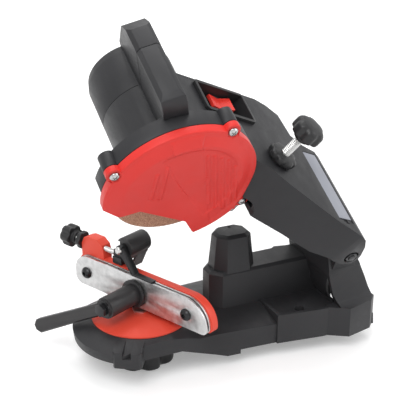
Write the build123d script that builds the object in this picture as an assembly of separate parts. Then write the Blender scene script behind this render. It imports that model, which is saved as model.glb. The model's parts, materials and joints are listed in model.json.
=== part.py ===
from build123d import *
import math
import os

# Bench-top sharpener for chainsaw chains, in millimetres.
# Row frame: origin midway between the two bench bolts, on the bench top.
# +X runs from the front (vise) to the rear (hinge), +Y to the motor side, +Z up.

# ---------- driving dimensions ----------
# base
bolt_spacing = 92.0           # bench bolts, across the base
bolt_hole_radius = 4.5        # for M8 bench bolts
seat_height = 27.0            # turntable seat above the bench
turntable_reach = 130.0       # turntable axis in front of the bolts
drum_radius = 58.5            # round front of the base
drum_foot_radius = 57.5
drum_underside = 11.0         # front part overhangs the bench edge
drum_flat = 47.0              # straight sides behind the pointer boss
boss_angle = -123.5
boss_width = 24.0
boss_bottom = 8.0
edge_lip_drop = 4.0           # bench-edge hook, below the bench top
bench_edge = -58.0
rim_drop = 8.0                # outer rim below the seat
base_wall = 3.4
waist_half_width = 47.0
rear_half_width = 59.0
foot_half_width = 69.3
foot_height = 29.5
base_rear = 70.0
pocket_floor = 25.0
foot_front = 37.6
foot_rear = 62.5

# block and stop tower on the base
block_front = -70.0
block_near = -19.0
block_far = 11.5
block_top = 59.0
block_chamfer = 2.4
block_corner = 9.0
tower_length = 31.0           # along X, at its top
tower_width = 25.0            # along Y, at its top
tower_taper = 1.22            # foot of the tower to its top
tower_top = 91.0
tower_x = -46.0
tower_y = -3.0

# hinge
hinge_x = 24.0
hinge_y = -32.4               # where the axis crosses the plane of the disc
hinge_z = 117.5
head_tilt = 30.0              # disc axis below the horizontal
hinge_bolt_radius = 3.0
hinge_near = 61.0             # outer face of the near ear, from the disc plane
hinge_far = -30.0             # outer face of the far ear
ear_width = 11.0
ear_radius = 10.0
barrel_radius = 11.0
ear_gap = 0.4
stand_front = 22.5
stand_near = -58.0
stand_far = 12.0

# head
arm_reach = 157.8             # disc axis to hinge axis
arm_rise = 15.4
raise_angle = 28.8            # head as stored, open
lower_angle = 24.6            # from stored down to the cutting position
disc_radius = 54.0
disc_bore_radius = 11.5
disc_width = 3.2
deck_height = 40.0
housing_wall = 3.0
ring_radius = 62.0
ring_back = -15.0
barrel_outer = 35.5
cap_seam = -72.0
motor_end = -120.0
motor_bore = 32.5             # stator seat in the housing and its cover
deck_left = -16.0
deck_far = -79.0
chamber_radius = 57.5
chamber_back = -10.0
guard_radius = 62.0
guard_lip = 5.5
guard_plateau_radius = 49.0
guard_plateau = 9.5
guard_wall = 2.0
shaft_radius = 5.0
stator_s0 = -92.0
stator_s1 = -62.0
stator_inner = 19.5
coil_depth = 4.0
commutator_s0 = -105.5
fan_s0 = -50.0
fan_radius = 30.0
handle_angle = 135.0          # direction of the handle, seen along the disc axis
handle_reach = 82.0           # top of the handle from the disc axis
handle_v0 = -17.2             # faces of the handle, across its direction
handle_v1 = 2.0
handle_wall = 3.0
grip_seam = -66.0
running_gap = 0.05
moving_gap = 0.3

# depth stop screw
depth_p = 83.0
depth_s = -8.0
depth_rod_radius = 3.9
depth_knob_height = 77.0
depth_knob_radius = 13.5
depth_nut_radius = 13.0

# turntable and chain vise
swivel_angle = 24.4           # stored swivel of the vise
table_radius = 42.0
table_height = 4.5
swivel_bolt_radius = 4.0
lock_knob_radius = 29.0
lock_knob_height = 18.0
lock_knob_low = -15.0
rail_near = 77.0
rail_far = 75.0
rail_low = 8.5
rail_high = 36.5
rail_thickness = 2.0
chain_slot = 1.8
bracket_thickness = 7.0
rail_bolt_radius = 2.5
rail_bolt_height = 21.0
rail_bolt_near = 55.0
rail_bolt_far = 61.0
clamp_y = 2.0
clamp_height = 21.5
clamp_bolt_radius = 3.0
clamp_hub_radius = 9.3
clamp_hub_length = 33.0
clamp_arm_length = 86.0
clamp_arm_angle = 28.0        # lever hangs this far below the horizontal
clamp_arm_lean = 10.0
stop_axis_x = 6.0
stop_axis_height = 45.5
stop_rod_radius = 2.4

# further fixed places
riser_x = -25.0               # step up to the rear platform
spring_pocket_radius = 7.2
spring_start = -12.0
spring_end = 12.0
spring_turns = 3
rear_rail_x = -0.2            # front face of the rear rail
pawl_y = 18.5
pawl_z = 56.5
hood_radius = 9.0
hood_end = 25.0               # clear of the disc at the full swivel
hood_low = 33.0
hood_wall = 2.2
pin_radius = 2.0
finger_y = -15.0              # the finger passes under the lowered disc
finger_thickness = 1.0
ring_flat = -29.0             # lower edge of the ring is cut flat, clear of the chain stop
guard_screw_reach = 62.5
guard_rear_reach = 70.5
insert_low = 28.0             # threaded insert of the depth screw
depth_tip = -23.4             # end of the depth screw, along the screw
switch_p0 = 20.5
switch_p1 = 72.2
switch_s0 = -72.5
switch_s1 = -45.6
switch_rim = 2.8
switch_depth = 24.0
rocker_p = 49.5
rocker_s = -64.0
rocker_w = 32.0
arbor_tip = 6.9
gland_p = 90.0
gland_w = 16.0
gland_radius = 5.5
half_disc = disc_width / 2

table_x = -turntable_reach
hinge_dir = Vector(0, -math.cos(math.radians(head_tilt)), -math.sin(math.radians(head_tilt)))
up_dir = Vector(0, -math.sin(math.radians(head_tilt)), math.cos(math.radians(head_tilt)))


def head_x_dir(angle):
    """Direction from the disc axis to the hinge, with the head raised by angle."""
    a = math.radians(angle)
    return Vector(1, 0, 0) * math.cos(a) - up_dir * math.sin(a)


def head_location(angle):
    """Frame of the head: x to the hinge, y up in the disc plane, z along the disc axis."""
    at_hinge = Plane(origin=(hinge_x, hinge_y, hinge_z), x_dir=head_x_dir(angle), z_dir=hinge_dir)
    return at_hinge.location * Location((-arm_reach, -arm_rise, 0))


head_frame = head_location(raise_angle)
hinge_frame = Plane(origin=(hinge_x, hinge_y, hinge_z), x_dir=(1, 0, 0), z_dir=hinge_dir).location
vise_frame = Location((table_x, 0, seat_height), (0, 0, swivel_angle))


# ---------- shared shapes ----------
def rod(radius, z0, z1, x=0, y=0):
    return Pos(x, y, (z0 + z1) / 2) * Cylinder(radius, z1 - z0)


def block(x0, x1, y0, y1, z0, z1):
    return Pos((x0 + x1) / 2, (y0 + y1) / 2, (z0 + z1) / 2) * Box(x1 - x0, y1 - y0, z1 - z0)


def prism(points, z0, z1, radius=0.0):
    outline = Polygon(*points, align=None)
    if radius:
        outline = fillet(outline.vertices(), radius)
    return extrude(Pos(0, 0, z0) * outline, z1 - z0, dir=(0, 0, 1))


def side_prism(points, y0, y1):
    """Prism from (x, z) points, running from y0 to y1."""
    return Pos(0, y1, 0) * Rot(90, 0, 0) * prism(points, 0, y1 - y0)


def along_x(shape, x=0, y=0, z=0):
    """Turns a shape built on +Z so that it points along +X."""
    return Pos(x, y, z) * Rot(0, 90, 0) * shape


def along_y(shape, x=0, y=0, z=0):
    """Turns a shape built on +Z so that it points along +Y."""
    return Pos(x, y, z) * Rot(-90, 0, 0) * shape


def hexagon(across_flats, z0, z1):
    return extrude(Pos(0, 0, z0) * RegularPolygon(across_flats / 2, 6, major_radius=False), z1 - z0)


def lobed_outline(radius, lobes, depth, scale=1.0):
    """Outline of a hand knob: round, with a soft flute between the lobes."""
    points = []
    for i in range(lobes * 6):
        a = 2 * math.pi * i / (lobes * 6)
        r = scale * (radius - depth * (0.5 - 0.5 * math.cos(lobes * a)) ** 2)
        points.append((r * math.cos(a), r * math.sin(a)))
    return Polygon(*points, align=None)


def lobed_knob(radius, z0, z1, lobes, depth, crown):
    """Fluted knob from z0 to z1, drawn in at its upper edge."""
    side = extrude(Pos(0, 0, z0) * lobed_outline(radius, lobes, depth), z1 - crown - z0, dir=(0, 0, 1))
    low = Pos(0, 0, z1 - crown) * lobed_outline(radius, lobes, depth)
    high = Pos(0, 0, z1) * lobed_outline(radius, lobes, depth, 1 - 0.9 * crown / radius)
    return side + loft([low.face(), high.face()], ruled=True)


def turned(profile):
    """Solid of revolution round Z from (radius, z) points."""
    return revolve(Plane.XZ * Polygon(*profile, align=None))


def bar(a, b, width, z0, z1):
    """Straight bar from point a to point b."""
    dx, dy = b[0] - a[0], b[1] - a[1]
    turn = math.degrees(math.atan2(dy, dx))
    return Pos(a[0], a[1], 0) * Rot(0, 0, turn) * block(0, math.hypot(dx, dy), -width / 2, width / 2, z0, z1)


def save(shape, name):
    solids = shape.solids()
    whole = Compound(children=list(solids)) if len(solids) > 1 else solids[0]
    whole.label = name
    export_step(whole, "parts/" + name + ".step")


# ---------- base ----------
def mirrored(points):
    """Outline from its +Y half, listed front to rear."""
    return points + [(x, -y) for x, y in reversed(points)]


def cross_prism(points, x0, x1):
    """Prism from (y, z) points, running from x0 to x1."""
    return Plane.YZ.location * prism(points, x0, x1)


waist_side = [(table_x, waist_half_width), (-80, waist_half_width), (riser_x, waist_half_width + 4)]
rear_side = [(riser_x, waist_half_width + 6), (17, rear_half_width), (foot_rear - 2, rear_half_width),
             (base_rear, 50)]


def base_shell():
    """Round front, waist and rear platform, before the underside is opened."""
    seat = seat_height
    rim = seat - rim_drop
    drum = turned([(0, drum_underside), (drum_foot_radius, drum_underside), (drum_radius, rim),
                   (table_radius + 0.6, seat), (0, seat)])
    drum &= block(-80, 80, -drum_flat, drum_flat, -9, 60)
    waist = prism(mirrored(waist_side), -edge_lip_drop, seat - 2)
    for side in (-1, 1):
        slope = [(side * 20, seat - 1.5), (side * 48, rim), (side * 75, rim - 6), (side * 75, 40),
                 (side * 20, 40)]
        waist -= cross_prism(slope, table_x - 1, riser_x + 1)
    rear = prism(mirrored(rear_side), 0, seat)
    inner = [(riser_x + 4, waist_half_width + 2.6), (17, rear_half_width - base_wall),
             (stand_front + 8, rear_half_width - base_wall)]
    rear -= prism(mirrored(inner), pocket_floor, seat + 1)
    shell = Pos(table_x, 0, 0) * drum + waist + rear
    under = [(-220, -60), (-220, drum_underside), (-112, drum_underside), (-70, -edge_lip_drop),
             (bench_edge, -edge_lip_drop), (bench_edge, 0), (80, 0), (80, -60)]
    return shell - side_prism(under, -90, 90)


def centre_block():
    """Raised spine with chamfered top between the turntable and the stand."""
    spine = block(block_front, stand_front + 9.5, block_near, block_far, 12, block_top)
    spine = chamfer(spine.edges().filter_by(Axis.Z).sort_by(Axis.X)[:2], block_corner)
    return chamfer(spine.faces().sort_by(Axis.Z)[-1].edges(), block_chamfer)


def stop_tower():
    """Tapered eight-sided post that the depth screw lands on."""
    w, d = tower_length / 2, tower_width / 2
    plan = [(-w, -d + 8), (-w + 7, -d), (w - 6, -d), (w, -d + 6), (w, d - 7), (w - 7, d), (-w + 7, d),
            (-w, d - 7)]
    foot = block_top - block_chamfer - 1
    low = Pos(tower_x, tower_y, foot) * Polygon(*[(tower_taper * x, tower_taper * y) for x, y in plan],
                                                align=None)
    top = Pos(tower_x, tower_y, tower_top) * Polygon(*plan, align=None)
    post = loft([low.face(), top.face()], ruled=True)
    post = chamfer(post.faces().sort_by(Axis.Z)[-1].edges(), 2.6)
    return post - rod(1.4, tower_top - 0.8, tower_top + 1, tower_x + 1.5, tower_y + 6.4)


# side view of the stand, in (x, z)
stand_back = [(base_rear, 0), (68.8, 14.4), (64.4, 32.6), (57.9, 49.9), (51, 65), (43, 80), (38, 92),
              (36, 104),
              (35, 170)]
stand_front_edge = [(stand_front + 10, 0), (stand_front + 10, 24), (stand_front + 4, 38),
                    (stand_front - 1, 58),
                    (stand_front - 3.5, 76), (stand_front - 4, 170)]
stand_outline = stand_back + stand_front_edge[::-1]


def foot_pad(side):
    """Rear foot, as high as the rim of the base."""
    y = rear_half_width - 4
    plan = [(stand_front - 1, y), (stand_front - 1, y + 4), (foot_front, foot_half_width),
            (foot_rear, foot_half_width - 5.7), (base_rear, y + 1), (base_rear, y - 7)]
    return prism([(x, side * y) for x, y in plan], 0, foot_height - 2)


def foot_scoop():
    """Concave flare from the near face of the stand down to its foot pad."""
    y = stand_near
    rise = [(y, 78), (y + 1.0, 50), (y + 0.5, 38), (y - 2.0, 31.5), (y - 6.0, foot_height - 1)]
    toe = [(-foot_half_width, foot_height - 2.4), (-foot_half_width, 10)]
    flare = cross_prism([(y + 5, 10), (y + 5, 78)] + rise + toe, 12, 75)
    plan = [(stand_front - 8, y + 5), (stand_front - 8, y - 0.2), (stand_front, y - 1.3),
            (foot_front, -foot_half_width),
            (foot_rear, -foot_half_width + 5.7), (base_rear, y + 5)]
    return flare & prism(plan, 0, 80) & side_prism(stand_outline, -90, 90)


def stand():
    """Stand that carries the hinge barrel along the tilted axis."""
    leg = side_prism(stand_outline, stand_near, stand_far)
    near = hinge_near - ear_width - ear_gap
    far = hinge_far + ear_width + ear_gap
    top = hinge_frame * block(-60, 80, -barrel_radius - 5, 200, -200, 200)
    ends = hinge_frame * (block(-60, 80, -80, 20, near, near + 90) + block(-60, 80, -34, 20, far - 90, far))
    neck_points = [(-barrel_radius, 0), (barrel_radius, 0), (17, -17), (24, -40), (0, -40), (-1.5, -17)]
    neck = hinge_frame * prism(neck_points, far, near)
    return leg - top - ends + neck + hinge_frame * rod(barrel_radius, far, near)


def base_hollows():
    """Open underside of the moulding, with its walls and ribs left standing."""
    w = base_wall
    roof = pocket_floor - w
    waist = [(x, y - w) for x, y in waist_side]
    rear = [(x + w, y - w) for x, y in rear_side[:2]] + [(foot_rear - 6, rear_half_width - w),
                                                         (base_rear - 5, 45)]
    cuts = prism(mirrored([(x + 10, y) for x, y in waist]), -9, 14.5) + prism(mirrored(rear), -9, roof)
    cuts += block(block_front + w + 6, stand_front + 11, block_near + w, block_far - w, 0, block_top - w - 3)
    cuts += block(tower_x - 11, tower_x + 11, tower_y - 9, tower_y + 9, 40, tower_top - 6)
    inner = [(stand_front + 12, -9), (65, -9), (62, 14), (58, 32), (51, 48), (44, 61), (stand_front + 4, 61),
             (stand_front + 6.5, 40), (stand_front + 12, 26)]
    cuts += side_prism(inner, stand_near + w, stand_far - w)
    for side in (-1, 1):
        y0, y1 = sorted((side * (foot_half_width - 9), side * (rear_half_width - 6)))
        cuts += block(foot_front + 1, foot_rear - 5, y0, y1, -2, foot_height - 8)
    ring = turned([(16, 0), (52, 0), (52.5, 16), (42, 21.5), (16, 21.5)])
    cuts += Pos(table_x, 0, 0) * (ring & block(-60, 60, w - drum_flat, drum_flat - w, -9, 60))
    ribs = block(-66, 60, -1.4, 1.4, -10, roof) + block(-26, -23, -60, 60, -10, roof)
    ribs += block(15, 18, -60, 60, -10, roof) + block(-74, -71, -60, 60, -10, 16)
    for a in range(0, 360, 60):
        ribs += Pos(table_x, 0, 0) * Rot(0, 0, a + 30) * block(14, 54, -1.4, 1.4, -2, 22)
    ribs += Pos(table_x, 0, 0) * rod(16, -2, 24)
    for y in (-bolt_spacing / 2, bolt_spacing / 2):
        ribs += rod(bolt_hole_radius + 4.2, -2, roof + 1, 0, y)
    return cuts - ribs


def pointer_boss():
    """Boss with a slot for the angle pointer, on the front of the drum."""
    half = boss_width / 2
    side = [(44, boss_bottom), (drum_radius, boss_bottom), (drum_radius + 0.6, 22.6), (44, seat_height - 0.5)]
    boss = side_prism(side, -half, half)
    boss &= prism([(40, -half), (56, -half), (62, -half + 4), (62, half - 4), (56, half), (40, half)], 0, 40)
    boss -= block(43, 70, -3.5, 3.5, 17, 40)
    return Pos(table_x, 0, 0) * Rot(0, 0, boss_angle) * boss


def base_moulding():
    body = base_shell() + centre_block() + stop_tower() + stand() + pointer_boss() + foot_scoop()
    for side in (-1, 1):
        body += foot_pad(side)
    body -= base_hollows()
    body -= Pos(table_x, 0, 0) * rod(swivel_bolt_radius + running_gap, -20, 60)
    for y in (-bolt_spacing / 2, bolt_spacing / 2):
        body -= rod(bolt_hole_radius, -10, 40, 0, y)
    body -= hinge_frame * rod(hinge_bolt_radius, -60, 90)
    body -= hinge_frame * rod(spring_pocket_radius, spring_start - 1.2, spring_end + 1.2)
    return body


# ---------- hinge ----------
def hinge_bolt():
    bolt = rod(hinge_bolt_radius, hinge_far - 1.4, hinge_near + 1.5)
    bolt += hexagon(10, hinge_far - 5.4, hinge_far - 1.4)
    bolt += rod(7.5, hinge_far - 1.4, hinge_far - 0.1)
    return hinge_frame * bolt


def hinge_nut():
    nut = hexagon(10, hinge_near - 5.0, hinge_near + 0.6) - rod(hinge_bolt_radius, 0, 90)
    return hinge_frame * nut


def hinge_bushes():
    sleeve = rod(5.0, hinge_near - ear_width, hinge_near - 5.3) + rod(5.0, hinge_far, hinge_far + ear_width)
    return hinge_frame * (sleeve - rod(hinge_bolt_radius + running_gap, -90, 90))


def return_spring():
    """Square-wire coil that lifts the head, in a pocket of the hinge barrel."""
    steps = 10
    points = []
    for i in range(spring_turns * steps + 1):
        a = 2 * math.pi * i / steps
        z = spring_start + 1 + (spring_end - spring_start - 2) * i / (spring_turns * steps)
        points.append((5.4 * math.cos(a), 5.4 * math.sin(a), z))
    path = Polyline(*points)
    section = Plane(origin=points[0], z_dir=path % 0) * Rectangle(1.8, 1.8)
    return hinge_frame * sweep(section, path=path, transition=Transition.RIGHT)


# ---------- turntable and chain vise ----------
def rail_outline(grow=0.0):
    """Long plate of the vise in (y, z): full arc at the near end, lower nose at the far end."""
    y0, y1 = -rail_near - grow, rail_far + grow
    z0, z1 = rail_low, rail_high + grow * 0.4
    outline = Polygon((y0, z0), (y1, z0), (y1, z1), (y0, z1), align=None)
    corners = outline.vertices()
    outline = fillet(corners.filter_by_position(Axis.X, y0 - 1, y0 + 1).sort_by(Axis.Y)[-1:], 23)
    low = outline.vertices().filter_by_position(Axis.Y, z0 - 0.1, z0 + 0.1).sort_by(Axis.X)
    outline = fillet(low[:1], 5)
    high = outline.vertices().filter_by_position(Axis.Y, z1 - 0.1, z1 + 0.1).sort_by(Axis.X)
    outline = fillet(high[-1:], 15)
    low = outline.vertices().filter_by_position(Axis.Y, z0 - 0.1, z0 + 0.1).sort_by(Axis.X)
    return fillet(low[-1:], 8)


def plate(x0, x1, grow=0.0):
    """Rail-shaped plate between x0 and x1 of the vise."""
    return Plane.YZ.location * extrude(Pos(0, 0, x0) * rail_outline(grow), x1 - x0, dir=(0, 0, 1))


def bolt_holes(radius):
    holes = Part()
    for y in (-rail_bolt_near, rail_bolt_far):
        holes += along_x(rod(radius, -60, 60), 0, y, rail_bolt_height)
    return holes


bracket_x = rear_rail_x + rail_thickness
clamp_face = rear_rail_x - chain_slot - rail_thickness
hub_back = clamp_face - 4.0
hub_front = hub_back - clamp_hub_length


def turntable():
    """Round base of the vise with the upright that backs the rear rail."""
    cone = Polygon((0, 0.1), (table_radius, 0.1), (table_radius, 1.4), (29, table_height), (0, table_height),
                   align=None)
    body = revolve(Plane.XZ * cone)
    back = bracket_x + bracket_thickness
    upright = plate(bracket_x, back, 1.6)
    upright += block(bracket_x, back, -34, 34, 1, rail_low + 3)
    body += upright
    for y in (-26, -9, 14, 30):
        web = side_prism([(back - 1, 1), (back + 17, 1), (back + 15, 5), (back - 1, 27)], y - 1.5, y + 1.5)
        body += web
    lug = [(45, 30), (72, 30), (72, 45), (69, 51), (64, 53), (53, 53), (47, 49), (45, 43)]
    body += cross_prism(lug, bracket_x + 0.1, stop_axis_x + 6)
    body -= along_y(rod(stop_rod_radius + running_gap, 40, 80), stop_axis_x, 0, stop_axis_height)
    body -= rod(swivel_bolt_radius, -5, 20)
    body -= hexagon(13, table_height - 3.6, 20)
    body -= bolt_holes(rail_bolt_radius)
    body -= along_x(rod(clamp_bolt_radius, -60, 60), 0, clamp_y, clamp_height)
    return vise_frame * body


def swivel_bolt():
    bolt = rod(swivel_bolt_radius, lock_knob_low + 7 - seat_height, 1.5)
    bolt += hexagon(13, table_height - 3.6, table_height + 1.4)
    return vise_frame * bolt


def rear_rail():
    rail = plate(rear_rail_x, bracket_x) - bolt_holes(rail_bolt_radius)
    rail -= along_x(rod(clamp_bolt_radius, -60, 60), 0, clamp_y, clamp_height)
    return vise_frame * rail


def front_rail():
    x1 = rear_rail_x - chain_slot
    rail = plate(x1 - rail_thickness, x1) - bolt_holes(rail_bolt_radius + running_gap)
    rail -= along_x(rod(clamp_bolt_radius + running_gap, -60, 60), 0, clamp_y, clamp_height)
    return vise_frame * rail


def rail_bolts():
    """Domed screws that guide the front rail."""
    bolts = Part()
    face = clamp_face - 0.1
    for y in (-rail_bolt_near, rail_bolt_far):
        dome = turned([(0, face - 3.2), (2.4, face - 3.2), (4.1, face - 2.3), (5.2, face - 0.7), (5.2, face),
                       (0, face)])
        dome -= hexagon(3.4, face - 5, face - 1.4)
        bolts += along_x(dome + rod(rail_bolt_radius, face - 1, bracket_x + bracket_thickness + 5), 0, y,
                         rail_bolt_height)
    return vise_frame * bolts


def rail_nuts():
    nuts = Part()
    back = bracket_x + bracket_thickness
    for y in (-rail_bolt_near, rail_bolt_far):
        nuts += along_x(hexagon(8, back, back + 4) - rod(rail_bolt_radius, -60, 60), 0, y, rail_bolt_height)
    return vise_frame * nuts


def on_clamp(shape):
    return vise_frame * along_x(shape, 0, clamp_y, clamp_height)


def clamp_bolt():
    bolt = rod(clamp_bolt_radius, hub_front - 5.5, bracket_x + bracket_thickness + 4)
    bolt += hexagon(10, hub_front - 5.6, hub_front - 1.5)
    bolt += hexagon(10, bracket_x + bracket_thickness, bracket_x + bracket_thickness + 5)
    return on_clamp(bolt)


def clamp_washer():
    return on_clamp(rod(7.5, hub_front - 1.5, hub_front - 0.1) - rod(clamp_bolt_radius, -90, 90))


def thrust_washer():
    return on_clamp(rod(10.5, clamp_face - 1.4, clamp_face) - rod(clamp_bolt_radius + moving_gap, -90, 90))


def clamp_collar():
    collar = rod(12.4, hub_back + 0.1, clamp_face - 1.4)
    return on_clamp(collar - rod(clamp_bolt_radius + moving_gap, -90, 90))


def clamp_lever():
    """Hub on the clamp bolt with the hand lever at its front end."""
    hub = rod(clamp_hub_radius, hub_front + 1.2, hub_back) + rod(clamp_hub_radius - 1.4, hub_front,
                                                                 hub_front + 2)
    arm = [(0, -5.6), (0, 5.6), (30, 5.4), (clamp_arm_length - 4, 6.2), (clamp_arm_length, 2.5),
           (clamp_arm_length, -2.5), (clamp_arm_length - 4, -6.2), (30, -5.4)]
    lever = prism(arm, -4, 4)
    lever = chamfer(lever.faces().filter_by(Axis.Z).edges(), 1.4)
    lever = Pos(0, 0, hub_front + 5.4) * Rot(0, clamp_arm_lean, 0) * lever
    lever = Rot(0, 0, 90 - clamp_arm_angle) * lever
    body = hub + (lever - rod(clamp_hub_radius - 2, -90, 0))
    body -= rod(clamp_bolt_radius + running_gap, -90, 0)
    return on_clamp(body)


def on_stop(shape):
    return vise_frame * along_y(shape, stop_axis_x, 0, stop_axis_height)


def stop_rod():
    return on_stop(rod(stop_rod_radius, 25, 93))


def stop_knob():
    knob = lobed_knob(10, 84.5, 96.5, 6, 1.6, 1.6) + rod(5.5, 81, 85)
    return on_stop(knob - rod(stop_rod_radius + running_gap, 60, 94))


def stop_nut():
    nut = lobed_knob(8, 72.5, 77.5, 6, 1.2, 0.8)
    return on_stop(nut - rod(stop_rod_radius + running_gap, 60, 94))


def stop_carrier():
    """Sliding block that carries the pawl."""
    foot = rail_high + 1.2
    carrier = block(bracket_x, stop_axis_x + 4.5, 23.5, 34, foot, 44)
    post = [(23.5, 40), (34, 40), (34, 50), (25, 52), (23, pawl_z), (pawl_y, pawl_z + 4.4),
            (pawl_y - 3.6, pawl_z - 2),
            (21, 48)]
    carrier += cross_prism(post, 3.5, stop_axis_x + 4.5)
    carrier += along_x(rod(4.6, 3.5, stop_axis_x + 4.5), 0, pawl_y, pawl_z)
    carrier -= along_y(rod(stop_rod_radius, 25, 60), stop_axis_x, 0, stop_axis_height)
    carrier -= along_x(rod(pin_radius, -40, 40), 0, pawl_y, pawl_z)
    return vise_frame * carrier


def pivot_pin():
    pin = rod(pin_radius, -5.4,
              hood_end - 4) + turned([(0, -8), (1.8, -8), (3.2, -7), (3.4, -5.4), (0, -5.4)])
    return vise_frame * along_x(pin, 0, pawl_y, pawl_z)


def pawl_strip():
    """Chain stop: sloping strip that passes under the disc, with a thin finger in the slot."""
    low = rail_high + 0.5
    section = [(pawl_y - 1, pawl_z - 3.6), (4.4, low), (finger_y - 3, low), (finger_y - 3, low + 1.2),
               (1.6, low + 1.6), (pawl_y - 3.6, pawl_z + 1.8), (pawl_y, pawl_z + 2)]
    strip = cross_prism(section, -5.2, 1.2) + along_x(rod(4.2, -5.2, 1.2), 0, pawl_y, pawl_z)
    slot_middle = rear_rail_x - chain_slot / 2 + 0.15
    half = finger_thickness / 2
    finger = cross_prism([(finger_y - 1, rail_high - 4), (finger_y + 5, rail_high - 4),
                          (finger_y + 7, low + 1),
                          (finger_y - 1, low + 1)], slot_middle - half, slot_middle + half)
    return vise_frame * (strip + finger - along_x(rod(pin_radius + running_gap, -40, 40), 0, pawl_y, pawl_z))


def pawl_tab():
    """Rolled thumb hood round the pivot pin, open below, with its two end walls."""
    r, t = hood_radius, hood_wall
    low_y = pawl_y + 2.5
    roll = along_x(rod(r, 1.4, hood_end), 0, pawl_y, pawl_z) - along_x(rod(r - t, 3.2, hood_end - 2), 0,
                                                                       pawl_y, pawl_z)
    roll -= cross_prism([(pawl_y + 40, pawl_z + 3), (pawl_y - r + t, pawl_z + 0.5), (pawl_y - r + t, 0),
                         (pawl_y + 40, 0)], 3.2, hood_end - 2)
    roll -= block(-5, 40, pawl_y + 5.5, 60, 0, pawl_z + 4.5)
    plate_points = [(pawl_y - r, pawl_z + 1), (pawl_y - r + t, pawl_z + 1), (low_y + t, hood_low),
                    (low_y, hood_low)]
    roll += cross_prism(plate_points, stop_axis_x + 6, hood_end)
    upper = [(pawl_y - r, pawl_z + 1), (pawl_y - r + t, pawl_z + 1), (pawl_y - r + t + 5, 46),
             (pawl_y - r + 5, 46)]
    roll += cross_prism(upper, 1.4, hood_end)
    return vise_frame * (roll - along_x(rod(pin_radius + running_gap, -40, 40), 0, pawl_y, pawl_z))


def lock_knob():
    """Star knob under the drum that clamps the turntable."""
    top = lock_knob_low + lock_knob_height
    knob = lobed_knob(lock_knob_radius, -top, -lock_knob_low, 8, 4.5, 4.0)
    knob = Rot(180, 0, 0) * knob + rod(13, top - 1, drum_underside - 1.6)
    knob -= rod(swivel_bolt_radius + running_gap, -40, 20) + rod(8, lock_knob_low - 1, lock_knob_low + 6)
    return Pos(table_x, 0, 0) * knob


def lock_washer():
    z1 = drum_underside
    return Pos(table_x, 0, 0) * (rod(12, z1 - 1.5, z1) - rod(swivel_bolt_radius + moving_gap, -40, 40))


# ---------- head housing ----------
arm_end = arm_reach - 14.0     # rear edge of the flat deck
arm_plan = [(40, deck_far), (arm_reach - 62, deck_far), (arm_reach - 50, deck_far + 4),
            (arm_reach - 39, deck_far + 12), (arm_reach - 37, deck_far + 35),
            (arm_reach - 27, hinge_far - 5.5), (arm_reach - 8, hinge_far),
            (arm_reach + 10, hinge_far), (arm_reach + 10, hinge_near), (arm_reach - 8, hinge_near),
            (arm_end, hinge_near - 1), (arm_end - 21, hinge_near - 12), (arm_end - 36, hinge_near - 22),
            (80, 19), (64, 5), (40, -2)]
arm_side = [(0, deck_height), (arm_end + 1, deck_height), (arm_reach - 5, deck_height - 3),
            (arm_reach + 2.5, arm_rise + 14.6), (arm_reach + ear_radius - 1.6, arm_rise + 4.6),
            (arm_reach + ear_radius, arm_rise), (arm_reach + ear_radius - 3, arm_rise - 7.2),
            (arm_reach, arm_rise - ear_radius), (arm_end - 4, arm_rise - 9), (arm_end - 19,
                                                                              2), (arm_end - 43, 0),
            (64, -6), (20, -8), (0, -8)]


def arm_shape(plan, side):
    """Arm as the common part of its plan and its side view."""
    return side_prism(plan, -60, 90) & prism(side, -120, 90)


def arm_cavity():
    """Inside of the arm between the screw post and the hinge."""
    w = housing_wall
    plan = [(68, deck_far + w), (arm_reach - 63, deck_far + w), (arm_reach - 52, deck_far + 7),
            (arm_reach - 42, deck_far + 15), (arm_reach - 40, deck_far + 37), (arm_reach - 29, hinge_far - 2),
            (arm_reach - 29, hinge_near - 13), (arm_end - 21, hinge_near - 16), (arm_end - 36,
                                                                                 hinge_near - 26),
            (84, 17), (70, 4)]
    side = [(68, deck_height - w), (arm_reach - 29, deck_height - w), (arm_reach - 29, 9),
            (arm_end - 20, 5.2),
            (arm_end - 43, 3.2), (68, -2.4)]
    cavity = arm_shape(plan, side)
    cavity += block(deck_left + w, 69, 20, deck_height - w, deck_far + w, -19) - rod(barrel_outer + 0.6,
                                                                                     -130, 0)
    return cavity - along_w(rod(9.5, -10, 50), depth_p, depth_s)


def grip_space():
    """Room that the hand grip takes above the barrel."""
    space = Rot(0, 0, handle_angle) * block(20, 100, handle_v0, handle_v1, motor_end, ring_back)
    return space - rod(barrel_outer + 0.05, -130, 0)


def head_housing():
    body = rod(ring_radius, ring_back, -half_disc) - block(-90, 90, -90, ring_flat, -40, 5)
    body += rod(barrel_outer, cap_seam, ring_back + 1)
    body += arm_shape(arm_plan, arm_side)
    body += block(deck_left, 60, 16, deck_height, deck_far, ring_back + 1)
    for x, y in guard_screw_points():
        body += rod(6.5, ring_back, -half_disc, x, y)
    body += along_w(rod(9.5, -6, deck_height + 0.8), depth_p, depth_s)
    body -= arm_cavity()
    body -= rod(motor_bore, cap_seam - 20, ring_back - 3)
    body -= rod(chamber_radius, chamber_back, 5)
    body -= rod(13, -16, -5) + rod(7, -20, -5)
    body -= rod(barrel_outer + 0.3, motor_end - 5, cap_seam)
    body -= rod(guard_radius + 1.4, -half_disc, 60) + bar((50, -1), (guard_rear_reach, -1), 10, -half_disc,
                                                          40)
    body -= rod(gland_radius, deck_far - 5, deck_far + 8, gland_p, gland_w)
    body -= head_hinge_gap()
    body -= along_w(rod(depth_rod_radius + moving_gap, -20, 60), depth_p, depth_s)
    body -= along_w(rod(7, insert_low, 60), depth_p, depth_s)
    body -= switch_well(0) + grip_space()
    body -= label_recess()
    for x, y in guard_screw_points():
        body -= rod(2, ring_back + 3, 5, x, y) + rod(6.9, -half_disc, 40, x, y)
    body -= Pos(arm_reach, arm_rise, 0) * hinge_bore()
    return head_frame * body


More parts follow.
